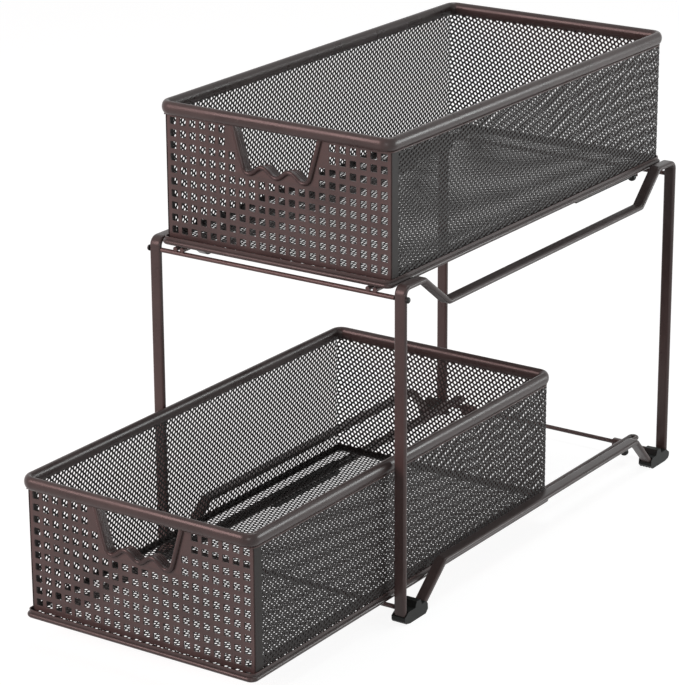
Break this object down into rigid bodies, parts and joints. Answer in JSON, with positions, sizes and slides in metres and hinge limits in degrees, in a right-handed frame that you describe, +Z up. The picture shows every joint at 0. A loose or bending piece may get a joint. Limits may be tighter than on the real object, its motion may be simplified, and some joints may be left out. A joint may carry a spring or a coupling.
{
  "type": "two-tier storage organizer",
  "caption": "Two-tier organizer with mesh baskets that slide out along wire tracks in a bent-strip frame on plastic feet.",
  "frame": {"origin": "on the floor, under the middle of the box that holds the organizer as it stands with its lower basket pulled part way out", "axes": "+X to the right seen from the front, +Y towards the back, so the baskets pull out along -Y, +Z up"},
  "size_m": [0.235, 0.5842, 0.3695],
  "materials": {
    "bronze_frame": "satin dark bronze lacquer",
    "bronze_wire": "satin dark bronze lacquer",
    "bronze_plate": "satin dark bronze lacquer on punched sheet",
    "bronze_mesh": "satin dark bronze lacquer on expanded mesh",
    "foot_plastic": "matte moulded black",
    "black_fittings": "matte moulded black"
  },
  "bodies": {
    "frame": {"left_side_hoop": "bronze_frame", "left_lower_rail": "bronze_frame", "right_side_hoop": "bronze_frame", "right_lower_rail": "bronze_frame", "front_left_foot": "foot_plastic", "front_left_rod_cap": "black_fittings", "front_right_foot": "foot_plastic", "front_right_rod_cap": "black_fittings", "rear_left_foot": "foot_plastic", "rear_right_foot": "foot_plastic", "upper_front_rod": "bronze_frame", "upper_rear_rod": "bronze_frame", "lower_front_rod": "bronze_frame", "lower_rear_rod": "bronze_frame", "upper_left_track": "bronze_frame", "upper_left_bracket": "bronze_frame", "upper_left_stop": "black_fittings", "upper_right_track": "bronze_frame", "upper_right_bracket": "bronze_frame", "upper_right_stop": "black_fittings", "lower_left_track": "bronze_frame", "lower_left_bracket": "bronze_frame", "lower_left_stop": "black_fittings", "lower_right_track": "bronze_frame", "lower_right_bracket": "bronze_frame", "lower_right_stop": "black_fittings"},
    "upper_basket": {"upper_rim": "bronze_wire", "upper_base_wire": "bronze_wire", "upper_front_plate": "bronze_plate", "upper_handle_trim": "bronze_wire", "upper_left_mesh": "bronze_mesh", "upper_right_mesh": "bronze_mesh", "upper_back_mesh": "bronze_mesh", "upper_floor_mesh": "bronze_mesh", "upper_left_runner": "bronze_frame", "upper_right_runner": "bronze_frame", "upper_left_glide": "black_fittings", "upper_right_glide": "black_fittings"},
    "lower_basket": {"lower_rim": "bronze_wire", "lower_base_wire": "bronze_wire", "lower_front_plate": "bronze_plate", "lower_handle_trim": "bronze_wire", "lower_left_mesh": "bronze_mesh", "lower_right_mesh": "bronze_mesh", "lower_back_mesh": "bronze_mesh", "lower_floor_mesh": "bronze_mesh", "lower_left_runner": "bronze_frame", "lower_right_runner": "bronze_frame", "lower_left_glide": "black_fittings", "lower_right_glide": "black_fittings"}
  },
  "joints": [
    {"name": "upper_basket_slide", "type": "slide", "parent": "frame", "child": "upper_basket", "axis": [0, -1, 0], "range_m": [0, 0.28]},
    {"name": "lower_basket_slide", "type": "slide", "parent": "frame", "child": "lower_basket", "axis": [0, -1, 0], "range_m": [-0.1716, 0.1084]}
  ]
}
